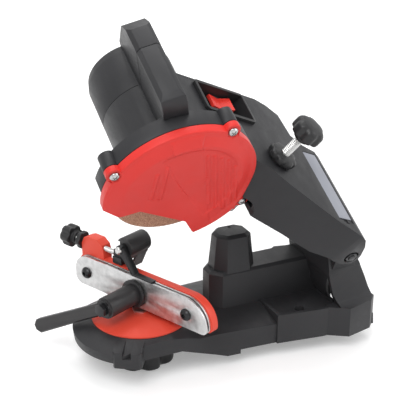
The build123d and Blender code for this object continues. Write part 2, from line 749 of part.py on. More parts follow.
def along_w(shape, p, s):
    """Turns a shape built on +Z so that it points along w, through (p, s)."""
    return Pos(p, 0, s) * Rot(-90, 0, 0) * shape


def hinge_bore():
    return rod(5.0, -90, 90) + rod(6.6, hinge_near - 5.3, hinge_near + 9)


def head_hinge_gap():
    """Room for the hinge barrel and stand between the ears."""
    near = hinge_near - ear_width
    far = hinge_far + ear_width
    gap = rod(barrel_radius + 1.2, far, near, arm_reach, arm_rise)
    for a in (0, -8, -16, -24, -32):
        sweep_box = Rot(0, 0, a + raise_angle) * block(-barrel_radius - 1.2, 40, -60, 0, far, near)
        gap += Pos(arm_reach, arm_rise, 0) * sweep_box
    return gap


def guard_screw_points():
    left = math.radians(185)
    return [(0, guard_screw_reach), (guard_screw_reach * math.cos(left), guard_screw_reach * math.sin(left)),
            (guard_rear_reach, -1)]


def label_recess():
    """Shallow field for the rating plate, at the rear of the deck, with a finger notch."""
    field = block(arm_end - 18, arm_end - 0.8, deck_height - 0.8, deck_height + 5, -27.6, 47.7)
    return field + block(arm_end - 12, arm_end - 7, deck_height - 1.6, deck_height + 5, 44, 49)


def rating_plate():
    return head_frame * block(arm_end - 17.6, arm_end - 1.2, deck_height - 0.8, deck_height - 0.2, -27.2,
                              43.6)


def motor_cover():
    """Cap over the rear of the motor, with air slots and the rear part of the hand grip."""
    r, end = barrel_outer, motor_end
    cap = turned([(0, end), (r - 7, end), (r - 2, end + 3.5), (r, end + 11), (r, cap_seam - 0.4),
                  (0, cap_seam - 0.4)])
    cap -= rod(motor_bore, end + 4, cap_seam + 5)
    cap += rod(14, end + 2, end + 14) - rod(11, end + 5, end + 20)
    for i in range(-3, 4):
        half = math.sqrt((r - 9) ** 2 - (i * 7.5) ** 2)
        for side in (-1, 1):
            x0, x1 = sorted((side * (15 if abs(i) < 3 else 2), side * half))
            cap -= block(x0, x1, i * 7.5 - 1.6, i * 7.5 + 1.6, end - 2, end + 6)
    grip = hand_grip(motor_end, grip_seam - 0.2, barrel_outer - 1)
    grip -= rod(barrel_outer + 0.05, cap_seam - 0.4, 0)
    return head_frame * (cap + grip)


def hand_grip(s0, s1, seat):
    """Broad hollow grip from s0 to s1 along the disc axis, standing on a barrel of radius seat."""
    u, t = handle_reach, handle_wall
    outline = [(28, motor_end + 4), (38, motor_end + 2), (62, motor_end + 13), (70, motor_end + 16.5),
               (u, motor_end + 34), (u, -20), (u - 2.5, -14.5), (u - 8, -12), (28, -12)]
    hollow = [(30, motor_end + 12), (60, motor_end + 16.5), (68, motor_end + 20), (u - t, motor_end + 35.5),
              (u - t, -21),
              (u - 9, -15), (30, -15)]
    grip = side_prism(outline, handle_v0, handle_v1)
    grip = chamfer(grip.faces().sort_by(Axis.X)[-1].edges().filter_by(Axis.Z), 3.2)
    grip -= side_prism(hollow, handle_v0 + t, handle_v1 - t)
    grip = Rot(0, 0, handle_angle) * grip
    grip -= rod(seat, -130, 20) + rod(ring_radius, ring_back, 20)
    grip &= block(-120, 120, -120, 120, s0, s1)
    return grip.solids().sort_by(SortBy.VOLUME)[-1]


def handle_shell():
    return head_frame * hand_grip(grip_seam, -12, barrel_outer)


guard_ribs = [((-12.5, 39.3), (31, -8.9)), ((-5.8, 41.2), (41.3, -10.2)), ((2.8, 43.6), (52.7, -10)),
              ((13.1, 43.1), (54.5, -0.7)), ((24.6, 41.6), (55.3, 9.6)), ((-37.2, 9.8), (-25.5, -10.5)),
              ((-31.4, 14.8), (-17.7, -5))]


def disc_guard():
    """Red cover of the grinding disc, open below, deeper at its rear corner."""
    r, t, flat = guard_radius, guard_wall, guard_plateau
    shell = turned([(0, -1), (r, -1), (r, guard_lip), (guard_plateau_radius, flat), (0, flat)])
    deep = rod(r + 1, -1, flat) & prism([(0, 0), (17, -64), (60, -60), (75, 6.5), (20, 6.5)], -2, 12)
    shell += deep
    for a, b in guard_ribs:
        shell += bar(a, b, 3.0, guard_lip, flat + 0.8)
    for x, y in guard_screw_points():
        shell += rod(6.5, -1, 4, x, y) + bar((0.8 * x, 0.8 * y), (x, y), 9, -1, 4)
    edge = [(-80, -31), (-60, -31), (-50, -40), (-33, -41), (-20, -30), (30, -31), (45, -40), (49, -41.5),
            (70, -41),
            (90, -20), (90, 90), (-80, 90)]
    shell &= prism(edge, -3, 20)
    shell -= turned([(0, -2), (r - t, -2), (r - t, guard_lip - 1), (guard_plateau_radius - 1, flat - t),
                     (0, flat - t)])
    shell -= rod(r - t, -2, flat - t) & prism([(2, -2), (19.5, -64), (60, -60), (75, 4), (20, 4)], -3, 12)
    for x, y in guard_screw_points():
        shell -= rod(2.1, -5, 9, x, y) + rod(4.2, 4, 12, x, y)
    return head_frame * shell


def guard_screws():
    """Pan head screws with a cross recess."""
    screws = Part()
    for x, y in guard_screw_points():
        screw = turned([(0, -11), (2, -11), (2, 4), (3.9, 4), (3.9, 4.8), (3.1, 6.0), (1.6, 6.5), (0, 6.5)])
        screw -= block(-2.4, 2.4, -0.5, 0.5, 5.5, 8) + block(-0.5, 0.5, -2.4, 2.4, 5.5, 8)
        screws += Pos(x, y, 0) * screw
    return head_frame * screws


def switch_well(wall):
    """Space of the switch well beside the motor barrel, inside walls of that thickness."""
    out = 2.0 - wall
    well = block(switch_p0 - out, switch_p1 + out, switch_depth + wall, deck_height + 9, switch_s0 - out,
                 switch_s1 + out)
    return well - rod(barrel_outer + wall, -130, 0)


def switch_frame():
    """Bezel of the switch well, with the switch body under it."""
    p0, p1, s0, s1 = switch_p0, switch_p1, switch_s0, switch_s1
    well = switch_well(0) - block(0, 130, deck_height, 60, -120, 0) - switch_well(2)
    rim = block(p0 - switch_rim, p1 + switch_rim, deck_height, deck_height + 3, s0 - switch_rim,
                s1 + switch_rim)
    rim = chamfer(rim.edges().filter_by(Axis.Y), 2.4)
    rim -= block(p0, p1, 0, 60, s0, s1)
    box = block(rocker_p - 15, rocker_p + 15, switch_depth + 1, switch_depth + 6, rocker_s - 9, rocker_s + 9)
    box -= block(rocker_p - 13.2, rocker_p + 13.2, switch_depth + 2.2, 60, rocker_s - 7.2, rocker_s + 7.2)
    well += rim + box
    for z in (rocker_s - 9, rocker_s + 7.2):
        well += block(rocker_p - 3, rocker_p + 3, switch_depth + 3, rocker_w + 2.5, z, z + 1.8)
    well -= rod(barrel_outer, -130, 0)
    return head_frame * (well + rod(1.5, rocker_s - 8, rocker_s + 8, rocker_p, rocker_w))


def rocker():
    """Switch rocker, pressed down at its front end."""
    rock = [(-11.5, 1.6), (-11.5, 4.6), (0, 2.8), (11.5, 6.4), (11.5, 3.2), (3, -1.9), (-3, -2.6)]
    shape = prism([(rocker_p + x, rocker_w + y) for x, y in rock], rocker_s - 6.6, rocker_s + 6.6)
    return head_frame * (shape - rod(1.55, -90, 0, rocker_p, rocker_w))


def cord_gland():
    """Grommet where the supply cord leaves the arm."""
    gland = turned([(3, -3.2), (gland_radius, -3.2), (gland_radius, 0), (7, 0), (7, 2.5), (5, 2.5),
                    (4.6, 13), (3, 13)])
    for z in (5, 9):
        gland -= rod(7, z, z + 1.4) - rod(4.1, z, z + 1.4)
    return head_frame * Pos(gland_p, gland_w, deck_far) * Rot(180, 0, 0) * gland


# ---------- motor and grinding disc ----------
def stator():
    core = rod(motor_bore, stator_s0, stator_s1) - rod(stator_inner, -130, -20)
    for side in (-1, 1):
        core -= block(-60, 60, side * (motor_bore + 3) - 7, side * (motor_bore + 3) + 7, -130, -20)
    return head_frame * core


def field_coils():
    """End turns of the two field windings, at both ends of the stator."""
    coils = Part()
    reach = motor_bore - 4
    for side in (-1, 1):
        y0, y1 = sorted((side * 15, side * 60))
        for s0 in (stator_s0 - coil_depth, stator_s1):
            ring = rod(reach, s0, s0 + coil_depth) - rod(stator_inner + 1.5, s0, s0 + coil_depth)
            coils += ring & block(-18, 18, y0, y1, -130, -20)
    return head_frame * coils


def armature():
    """Spindle with the slotted armature core on it."""
    shaft = rod(shaft_radius, motor_end + 6, arbor_tip)
    core = rod(stator_inner - 1, stator_s0 + 1, stator_s1 - 1)
    for i in range(8):
        core -= Rot(0, 0, 45 * i) * block(stator_inner - 6, stator_inner + 1, -1, 1, -130, -20)
    return head_frame * (shaft + core)


def commutator():
    ring = rod(9, commutator_s0, commutator_s0 + 8) - rod(shaft_radius, -130, -50)
    return head_frame * ring


def cooling_fan():
    hub = rod(9, fan_s0, fan_s0 + 10) + rod(fan_radius, fan_s0, fan_s0 + 1.6)
    for i in range(9):
        hub += Rot(0, 0, i * 40) * block(13, fan_radius, -0.8, 0.8, fan_s0 + 1, fan_s0 + 9)
    return head_frame * (hub - rod(shaft_radius, -60, -20))


def bearing(s0, s1, outer):
    return head_frame * (rod(outer, s0, s1) - rod(shaft_radius + running_gap, s0 - 1, s1 + 1))


def brush_holders():
    boxes = Part()
    for side in (-1, 1):
        x0, x1 = sorted((side * 9.4, side * (motor_bore - 0.6)))
        boxes += block(x0, x1, -4, 4, commutator_s0 + 0.5, commutator_s0 + 7.5)
    return head_frame * boxes


def grinding_disc():
    half = disc_width / 2
    disc = rod(disc_radius, -half, half) - rod(disc_bore_radius, -9, 9)
    disc = chamfer(disc.edges().filter_by(GeomType.CIRCLE).sort_by(SortBy.LENGTH)[-2:], 0.6)
    return head_frame * disc


def inner_flange():
    flange = turned([(shaft_radius, -8.8), (9, -8.8), (9, -half_disc - 3), (17, -half_disc - 3),
                     (17, -half_disc),
                     (disc_bore_radius, -half_disc), (disc_bore_radius, 0.6), (shaft_radius, 0.6)])
    return head_frame * flange


def outer_flange():
    flange = rod(17, half_disc, half_disc + 2) - rod(shaft_radius, -9, 20)
    return head_frame * flange


def arbor_nut():
    nut = hexagon(16, half_disc + 2, arbor_tip - 0.4) - rod(shaft_radius, -9, 20)
    return head_frame * nut


# ---------- depth stop ----------
def on_depth(shape):
    return head_frame * along_w(shape, depth_p, depth_s)


def depth_insert():
    insert = rod(7, insert_low, deck_height + 0.8) - rod(depth_rod_radius + running_gap, -9, 90)
    return on_depth(insert)


def depth_rod():
    tip = chamfer(rod(depth_rod_radius, depth_tip, depth_knob_height - 2).faces().sort_by(Axis.Z)[0].edges(),
                  1.0)
    return on_depth(tip)


def depth_knob():
    top = depth_knob_height + 5.5
    knob = lobed_knob(depth_knob_radius, top - 13, top, 6, 1.8, 3.0) + rod(7, top - 17, top - 12)
    return on_depth(knob - rod(depth_rod_radius + running_gap, 0, depth_knob_height - 1.9))


def depth_nut():
    nut = lobed_knob(depth_nut_radius, deck_height + 1.2, deck_height + 8.2, 8, 1.4, 1.4)
    return on_depth(nut - rod(depth_rod_radius + running_gap, 0, 90))


PARTS = {
    "base_moulding": base_moulding,
    "hinge_bolt": hinge_bolt,
    "hinge_nut": hinge_nut,
    "hinge_bushes": hinge_bushes,
    "return_spring": return_spring,
    "turntable": turntable,
    "swivel_bolt": swivel_bolt,
    "rear_rail": rear_rail,
    "rail_bolts": rail_bolts,
    "rail_nuts": rail_nuts,
    "clamp_bolt": clamp_bolt,
    "clamp_washer": clamp_washer,
    "front_rail": front_rail,
    "thrust_washer": thrust_washer,
    "clamp_collar": clamp_collar,
    "clamp_lever": clamp_lever,
    "stop_rod": stop_rod,
    "stop_knob": stop_knob,
    "stop_nut": stop_nut,
    "stop_carrier": stop_carrier,
    "pivot_pin": pivot_pin,
    "pawl_strip": pawl_strip,
    "pawl_tab": pawl_tab,
    "lock_washer": lock_washer,
    "lock_knob": lock_knob,
    "head_housing": head_housing,
    "rating_plate": rating_plate,
    "motor_cover": motor_cover,
    "handle_shell": handle_shell,
    "disc_guard": disc_guard,
    "guard_screws": guard_screws,
    "switch_frame": switch_frame,
    "rocker": rocker,
    "cord_gland": cord_gland,
    "stator": stator,
    "field_coils": field_coils,
    "armature": armature,
    "commutator": commutator,
    "cooling_fan": cooling_fan,
    "front_bearing": lambda: bearing(-16, -9, 13),
    "rear_bearing": lambda: bearing(motor_end + 5, motor_end + 12, 11),
    "brush_holders": brush_holders,
    "grinding_disc": grinding_disc,
    "inner_flange": inner_flange,
    "outer_flange": outer_flange,
    "arbor_nut": arbor_nut,
    "depth_insert": depth_insert,
    "depth_rod": depth_rod,
    "depth_knob": depth_knob,
    "depth_nut": depth_nut,
}

os.makedirs("parts", exist_ok=True)
for name, make in PARTS.items():
    save(make(), name)
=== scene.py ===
import json
import math
import bpy
import bmesh
import numpy as np
from mathutils import Matrix, Vector


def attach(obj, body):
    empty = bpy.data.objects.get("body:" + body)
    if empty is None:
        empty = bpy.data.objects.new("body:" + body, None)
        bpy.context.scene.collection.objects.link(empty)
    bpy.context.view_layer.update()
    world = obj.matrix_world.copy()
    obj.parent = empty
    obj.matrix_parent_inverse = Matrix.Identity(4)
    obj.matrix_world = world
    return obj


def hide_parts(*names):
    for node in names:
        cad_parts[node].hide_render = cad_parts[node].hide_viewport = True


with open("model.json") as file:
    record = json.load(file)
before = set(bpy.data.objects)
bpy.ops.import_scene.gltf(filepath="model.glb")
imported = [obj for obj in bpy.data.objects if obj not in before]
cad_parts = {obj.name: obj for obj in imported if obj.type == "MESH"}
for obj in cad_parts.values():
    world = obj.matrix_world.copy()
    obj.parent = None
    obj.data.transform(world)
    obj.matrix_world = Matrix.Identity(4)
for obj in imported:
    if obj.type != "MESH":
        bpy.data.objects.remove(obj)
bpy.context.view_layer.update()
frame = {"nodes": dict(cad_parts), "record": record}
cadNodes = frame["nodes"]
record = frame["record"]
bodyOf = {node: body for body, names in record["behaviour"]["bodies"].items() for node in names}
slotOf = {part["node"]: part["material_slot"] for part in record["subparts"]}
print("frame loaded,", len(cadNodes), "nodes")

# the sharpener as it stands: disc axis tilted, head raised, vise swung round; degrees and metres
pose = {
    "headTilt": 30.0, "headRaise": 28.8, "swivel": 24.4, "armReach": 0.1578, "armRise": 0.0154,
    "hingeAt": (0.024, -0.0324, 0.1175), "tableAt": (-0.130, 0.0, 0.027),
    "depthScrewBehind": 0.083, "depthScrewBeside": 0.008, "stopRodAhead": 0.006, "stopRodAbove": 0.0455,
}
tilt = math.radians(pose["headTilt"])
raised = math.radians(pose["headRaise"])
swung = math.radians(pose["swivel"])
rowX, rowY, rowZ = Vector((1, 0, 0)), Vector((0, 1, 0)), Vector((0, 0, 1))
discAxis = Vector((0, -math.cos(tilt), -math.sin(tilt)))
riseAxis = Vector((0, -math.sin(tilt), math.cos(tilt)))
headP = rowX * math.cos(raised) - riseAxis * math.sin(raised)
headW = rowX * math.sin(raised) + riseAxis * math.cos(raised)
discAt = Vector(pose["hingeAt"]) - headP * pose["armReach"] - headW * pose["armRise"]
tableAt = Vector(pose["tableAt"])
viseX = Vector((math.cos(swung), math.sin(swung), 0))
viseY = Vector((-math.sin(swung), math.cos(swung), 0))


def placeOf(origin, xAxis, yAxis, zAxis):    # millimetres in a local frame to metres in the row frame
    turn = Matrix((xAxis, yAxis, zAxis)).transposed().to_4x4()
    return Matrix.Translation(origin) @ turn @ Matrix.Scale(0.001, 4)


headPlace = placeOf(discAt, headP, headW, discAxis)
depthAt = discAt + headP * pose["depthScrewBehind"] - discAxis * pose["depthScrewBeside"]
depthPlace = placeOf(depthAt, headP, -discAxis, headW)
stopAt = tableAt + viseX * pose["stopRodAhead"] + rowZ * pose["stopRodAbove"]
stopPlace = placeOf(stopAt, viseX, -rowZ, viseY)
lockPlace = placeOf(Vector((tableAt.x, tableAt.y, 0)), rowX, rowY, rowZ)


def movePoints(points, place):
    full = np.asarray(place)
    return np.asarray(points, float) @ full[:3, :3].T + full[:3, 3]


def startMaterial(name):
    mat = bpy.data.materials.new(name)
    mat.use_nodes = True
    tree = mat.node_tree
    return mat, tree, tree.nodes["Principled BSDF"]


def addNode(tree, kind, **values):
    node = tree.nodes.new(kind)
    for key, value in values.items():
        if key in node.inputs:
            node.inputs[key].default_value = value
        else:
            setattr(node, key, value)
    return node


def noiseOn(tree, scale, detail=2.0, roughness=0.5, stretch=(1, 1, 1)):
    where = addNode(tree, "ShaderNodeTexCoord")
    mapping = addNode(tree, "ShaderNodeMapping")
    mapping.inputs["Scale"].default_value = stretch
    noise = addNode(tree, "ShaderNodeTexNoise", Scale=scale, Detail=detail, Roughness=roughness)
    tree.links.new(where.outputs["Object"], mapping.inputs["Vector"])
    tree.links.new(mapping.outputs["Vector"], noise.inputs["Vector"])
    return noise.outputs["Fac"]


def rangeOf(tree, source, low, high, fromLow=0.3, fromHigh=0.7):
    node = addNode(tree, "ShaderNodeMapRange")
    node.inputs["From Min"].default_value = fromLow
    node.inputs["From Max"].default_value = fromHigh
    node.inputs["To Min"].default_value = low
    node.inputs["To Max"].default_value = high
    tree.links.new(source, node.inputs["Value"])
    return node.outputs["Result"]


def colourMix(tree, factor, first, second):
    mix = addNode(tree, "ShaderNodeMix", data_type="RGBA")
    tree.links.new(factor, mix.inputs["Factor"])
    mix.inputs["A"].default_value = (*first, 1)
    mix.inputs["B"].default_value = (*second, 1)
    return mix.outputs["Result"]


def bumpFrom(tree, height, strength, distance, under=None):
    bump = addNode(tree, "ShaderNodeBump", Strength=strength, Distance=distance)
    tree.links.new(height, bump.inputs["Height"])
    if under is not None:
        tree.links.new(under, bump.inputs["Normal"])
    return bump.outputs["Normal"]


moulding = {"cloudScale": 18, "cloudBump": 0.15, "cloudDepth": 0.0004, "grainDepth": 0.0001,
            "scuffScale": 130, "scuffStretch": (1, 0.35, 1), "smoother": 0.05, "rougher": 0.09, "shine": 0.30}


def mouldedPlastic(name, look):
    # spark-eroded grain in the bump, faint flow clouds in colour and bump, dull scuffs in the roughness
    mat, tree, bsdf = startMaterial(name)
    cloud = noiseOn(tree, moulding["cloudScale"], 4)
    grain = noiseOn(tree, look["grain"])
    scuff = noiseOn(tree, moulding["scuffScale"], 5, 0.65, moulding["scuffStretch"])
    low = [c * (1 - look["spread"]) for c in look["colour"]]
    high = [c * (1 + look["spread"]) for c in look["colour"]]
    tree.links.new(colourMix(tree, rangeOf(tree, cloud, 0, 1), low, high), bsdf.inputs["Base Color"])
    rough = rangeOf(tree, scuff, look["rough"] - moulding["smoother"], look["rough"] + moulding["rougher"])
    tree.links.new(rough, bsdf.inputs["Roughness"])
    fine = bumpFrom(tree, grain, look["bump"], moulding["grainDepth"])
    both = bumpFrom(tree, cloud, moulding["cloudBump"], moulding["cloudDepth"], fine)
    tree.links.new(both, bsdf.inputs["Normal"])
    bsdf.inputs["Specular IOR Level"].default_value = moulding["shine"]
    return mat


plating = {"stretch": (1, 1, 12), "mottle": 160, "fade": 0.12, "metal": 1.0, "patch": 0.03, "lineRough": 0.04,
           "lineDepth": 0.00005}


def platedMetal(name, own):
    # drawn or turned metal: stretched lines in bump and roughness, mottled plating in colour and roughness
    look = {**plating, **own}
    mat, tree, bsdf = startMaterial(name)
    lines = noiseOn(tree, look["lines"], 3, 0.6, look["stretch"])
    mottle = noiseOn(tree, look["mottle"], 5, 0.6)
    low = [c * (1 - look["fade"]) for c in look["colour"]]
    tone = colourMix(tree, rangeOf(tree, mottle, 0, 1), low, look["colour"])
    tree.links.new(tone, bsdf.inputs["Base Color"])
    bsdf.inputs["Metallic"].default_value = look["metal"]
    blend = addNode(tree, "ShaderNodeMath", operation="ADD")
    lined = rangeOf(tree, lines, look["rough"] - look["lineRough"], look["rough"] + look["lineRough"])
    tree.links.new(lined, blend.inputs[0])
    tree.links.new(rangeOf(tree, mottle, -look["patch"], look["patch"]), blend.inputs[1])
    tree.links.new(blend.outputs[0], bsdf.inputs["Roughness"])
    tree.links.new(bumpFrom(tree, lines, look["bump"], look["lineDepth"]), bsdf.inputs["Normal"])
    return mat


def grittyDisc(name, look):
    # bonded abrasive: grains from a cell pattern, each with its own tone, in a dull bond
    mat, tree, bsdf = startMaterial(name)
    where = addNode(tree, "ShaderNodeTexCoord")
    cells = addNode(tree, "ShaderNodeTexVoronoi", Scale=look["grains"])
    tree.links.new(where.outputs["Object"], cells.inputs["Vector"])
    tone = addNode(tree, "ShaderNodeSeparateColor")
    tree.links.new(cells.outputs["Color"], tone.inputs["Color"])
    grit = colourMix(tree, tone.outputs["Red"], look["dark"], look["light"])
    tree.links.new(grit, bsdf.inputs["Base Color"])
    bsdf.inputs["Roughness"].default_value = look["rough"]
    grains = bumpFrom(tree, cells.outputs["Distance"], look["bump"], look["depth"])
    tree.links.new(grains, bsdf.inputs["Normal"])
    return mat


plastics = {
    "base_plastic": {"colour": (0.024, 0.024, 0.026), "spread": 0.12, "grain": 2200, "rough": 0.44,
                     "bump": 0.35},
    "housing_plastic": {"colour": (0.02, 0.02, 0.022), "spread": 0.12, "grain": 2200, "rough": 0.44,
                        "bump": 0.35},
    "handle_plastic": {"colour": (0.022, 0.022, 0.024), "spread": 0.1, "grain": 1800, "rough": 0.46,
                       "bump": 0.4},
    "frame_plastic": {"colour": (0.018, 0.018, 0.019), "spread": 0.1, "grain": 1500, "rough": 0.4,
                      "bump": 0.2},
    "lever_plastic": {"colour": (0.03, 0.029, 0.03), "spread": 0.1, "grain": 1900, "rough": 0.4,
                      "bump": 0.3},
    "knob_plastic": {"colour": (0.019, 0.019, 0.02), "spread": 0.12, "grain": 1800, "rough": 0.38,
                     "bump": 0.25},
    "vise_red": {"colour": (0.70, 0.066, 0.038), "spread": 0.05, "grain": 1500, "rough": 0.42,
                 "bump": 0.12},
    "guard_red": {"colour": (0.64, 0.03, 0.024), "spread": 0.05, "grain": 1600, "rough": 0.36,
                  "bump": 0.12},
    "rocker_red": {"colour": (0.68, 0.035, 0.025), "spread": 0.04, "grain": 900, "rough": 0.24,
                   "bump": 0.05},
    "plate_film": {"colour": (0.27, 0.28, 0.32), "spread": 0.04, "grain": 700, "rough": 0.33, "bump": 0.05},
    "gland_rubber": {"colour": (0.018, 0.018, 0.018), "spread": 0.15, "grain": 1400, "rough": 0.7,
                     "bump": 0.4},
    "fan_plastic": {"colour": (0.20, 0.20, 0.21), "spread": 0.05, "grain": 1500, "rough": 0.5, "bump": 0.2},
}
metals = {
    "rail_steel": {"colour": (0.66, 0.66, 0.66), "lines": 420, "stretch": (1, 1, 1), "rough": 0.4,
                   "bump": 0.1, "mottle": 210, "fade": 0.3, "patch": 0.08},
    "zinc_steel": {"colour": (0.62, 0.62, 0.61), "lines": 600, "rough": 0.32, "bump": 0.12},
    "black_steel": {"colour": (0.026, 0.026, 0.028), "lines": 900, "rough": 0.32, "bump": 0.1,
                    "metal": 0.6},
    "screw_steel": {"colour": (0.46, 0.46, 0.46), "lines": 900, "rough": 0.22, "bump": 0.05},
    "spring_steel": {"colour": (0.35, 0.35, 0.35), "lines": 900, "rough": 0.35, "bump": 0.1},
    "bush_bronze": {"colour": (0.55, 0.38, 0.20), "lines": 900, "rough": 0.45, "bump": 0.2},
    "lamination_steel": {"colour": (0.36, 0.36, 0.37), "lines": 900, "rough": 0.45, "bump": 0.4},
    "winding_copper": {"colour": (0.70, 0.30, 0.13), "lines": 1500, "rough": 0.35, "bump": 0.6},
    "brush_brass": {"colour": (0.74, 0.55, 0.25), "lines": 900, "rough": 0.3, "bump": 0.1},
    "bearing_steel": {"colour": (0.58, 0.58, 0.60), "lines": 900, "rough": 0.2, "bump": 0.05},
    "flange_alloy": {"colour": (0.62, 0.62, 0.62), "lines": 700, "rough": 0.32, "bump": 0.2},
}
abrasive = {"grains": 1500, "dark": (0.26, 0.115, 0.07), "light": (0.52, 0.30, 0.20), "rough": 0.92,
            "bump": 0.6, "depth": 0.0003}
slotMaterial = {slot: mouldedPlastic(slot, look) for slot, look in plastics.items()}
slotMaterial.update({slot: platedMetal(slot, look) for slot, look in metals.items()})
slotMaterial["abrasive"] = grittyDisc("abrasive", abrasive)
for node, slot in slotOf.items():
    cadNodes[node].data.materials.clear()
    cadNodes[node].data.materials.append(slotMaterial[slot])
print("materials made,", len(slotMaterial))


def addPiece(name, mesh, slot, body, replaced=()):
    obj = bpy.data.objects.new(name, mesh)
    bpy.context.scene.collection.objects.link(obj)
    mesh.materials.clear()
    mesh.materials.append(slotMaterial[slot])
    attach(obj, body)
    if replaced:
        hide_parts(*replaced)
    return obj


rounding = {"weld": 2e-6, "flatWithin": 0.4, "segments": 3, "roundedFrom": 28}


def roundedCopy(node, width):
    # the node's own mesh with its doubles merged, flat facets joined and its edges rounded off
    mesh = cadNodes[node].data.copy()
    flat = math.radians(rounding["flatWithin"])
    work = bmesh.new()
    work.from_mesh(mesh)
    bmesh.ops.remove_doubles(work, verts=work.verts, dist=rounding["weld"])
    bmesh.ops.dissolve_limit(work, angle_limit=flat, verts=work.verts, edges=work.edges)
    for face in work.faces:
        face.smooth = True
    work.to_mesh(mesh)
    work.free()
    obj = addPiece(node + "_skin", mesh, slotOf[node], bodyOf[node], (node,))
    bevel = obj.modifiers.new("edges", "BEVEL")
    bevel.width = width
    bevel.segments = rounding["segments"]
    bevel.limit_method = "ANGLE"
    bevel.angle_limit = math.radians(rounding["roundedFrom"])
    bevel.harden_normals = True
    bevel.use_clamp_overlap = True


edgeRadii = {    # metres
    "base_moulding": 0.0012, "head_housing": 0.0014, "motor_cover": 0.0010, "handle_shell": 0.0020,
    "turntable": 0.0008, "clamp_lever": 0.0012, "pawl_tab": 0.0010, "pawl_strip": 0.0004,
    "front_rail": 0.0004, "rear_rail": 0.0004, "stop_carrier": 0.0006, "switch_frame": 0.0012,
    "clamp_collar": 0.0006, "clamp_bolt": 0.0004, "hinge_nut": 0.0004, "rocker": 0.0008, "rail_bolts": 0.0003,
    "guard_screws": 0.0002, "pivot_pin": 0.0004, "hinge_bolt": 0.0004, "rating_plate": 0.0002,
}
for node, width in edgeRadii.items():
    roundedCopy(node, width)
print("edges rounded on", len(edgeRadii), "pieces")


creaseAngle = 38    # edges that turn more than this many degrees stay sharp


def skinMesh(name, rings, place, sharp=creaseAngle):
    # rings[i, j] is place j on ring i: quads join ring to ring, and a fan closes each end on its own centre
    count, around = rings.shape[:2]
    verts = np.vstack([rings.reshape(-1, 3), rings[0].mean(0), rings[-1].mean(0)])
    i, j = np.meshgrid(np.arange(count - 1), np.arange(around), indexing="ij")
    a, b = i * around + j, i * around + (j + 1) % around
    quads = np.stack([a, b, b + around, a + around], -1).reshape(-1, 4)
    j = np.arange(around)
    k = (j + 1) % around
    last = (count - 1) * around
    fans = np.vstack([np.stack([k, j, np.full(around, count * around)], -1),
                      np.stack([last + j, last + k, np.full(around, count * around + 1)], -1)])
    mesh = bpy.data.meshes.new(name)
    mesh.from_pydata(movePoints(verts, place).tolist(), [], quads.tolist() + fans.tolist())
    mesh.shade_smooth()
    mesh.set_sharp_from_angle(angle=math.radians(sharp))
    return mesh


def softProfile(corners, radius, steps=4, share=0.45):
    # a quadratic arc cuts each inner corner of the (r, z) line, from radius before to radius after it,
    # or from a share of the shorter run beside it where that is less
    corners = np.asarray(corners, float)
    run = np.diff(corners, axis=0)
    size = np.linalg.norm(run, axis=1)
    cut = np.minimum(radius, share * np.minimum(size[:-1], size[1:]))[:, None]
    before = corners[1:-1] - run[:-1] / size[:-1, None] * cut
    after = corners[1:-1] + run[1:] / size[1:, None] * cut
    t = np.linspace(0, 1, steps + 1)[None, :, None]
    arcs = (1 - t) ** 2 * before[:, None] + 2 * t * (1 - t) * corners[1:-1, None] + t ** 2 * after[:, None]
    return np.vstack([corners[:1], arcs.reshape(-1, 2), corners[-1:]])


def turnedRings(profile, around, lobes=0, depth=0.0, hub=0.0):
    # radius of the profile less depth times a squared cosine between lobes, faded in from the hub outwards
    r, z = profile[:, :1], profile[:, 1:]
    angle = np.linspace(0, 2 * math.pi, around, endpoint=False)[None]
    weight = np.clip((r - hub) / max(r.max() - hub, 1e-6), 0, 1) if lobes else 0 * r
    flute = (0.5 - 0.5 * np.cos(lobes * angle)) ** 2
    reach = r - depth * weight * flute
    return np.stack([reach * np.cos(angle), reach * np.sin(angle), z + 0 * angle], -1)


def handKnob(node, look, place):
    # fluted knob: bore, neck, skirt, side and crown in one line turned round the screw
    profile = softProfile(look["line"], look["soft"])
    rings = turnedRings(profile, look["around"], look["lobes"], look["depth"], look["hub"])
    return addPiece(node + "_turned", skinMesh(node, rings, place), slotOf[node], bodyOf[node], (node,))


def softStep(value, width):
    # t^2 (3 - 2t): nought to one as value passes through nought
    t = np.clip(value / width + 0.5, 0, 1)
    return t * t * (3 - 2 * t)


def within(value, span, fades):
    return softStep(value - span[0], fades[0]) * softStep(span[1] - value, fades[1])


def rayToLine(angle, corners):
    # distance along each ray from the disc axis to the nearest of the straight runs between corners
    a, b = np.array(corners[:-1], float)[:, None], np.array(corners[1:], float)[:, None]
    ray = np.stack([np.cos(angle), np.sin(angle)], -1)[None]
    run = b - a
    cross = ray[..., 0] * run[..., 1] - ray[..., 1] * run[..., 0]
    reach = (a[..., 0] * run[..., 1] - a[..., 1] * run[..., 0]) / cross
    along = (a[..., 0] * ray[..., 1] - a[..., 1] * ray[..., 0]) / cross
    return np.where((along >= 0) & (along <= 1) & (reach > 0), reach, np.inf).min(0)


def rayToCircle(angle, centre, radius):
    # far crossing of each ray with a circle, nought where it misses
    along = centre[0] * np.cos(angle) + centre[1] * np.sin(angle)
    across = centre[0] * np.sin(angle) - centre[1] * np.cos(angle)
    inside = radius ** 2 - across ** 2
    return np.where((inside > 0) & (along > 0), along + np.sqrt(np.maximum(inside, 0)), 0)


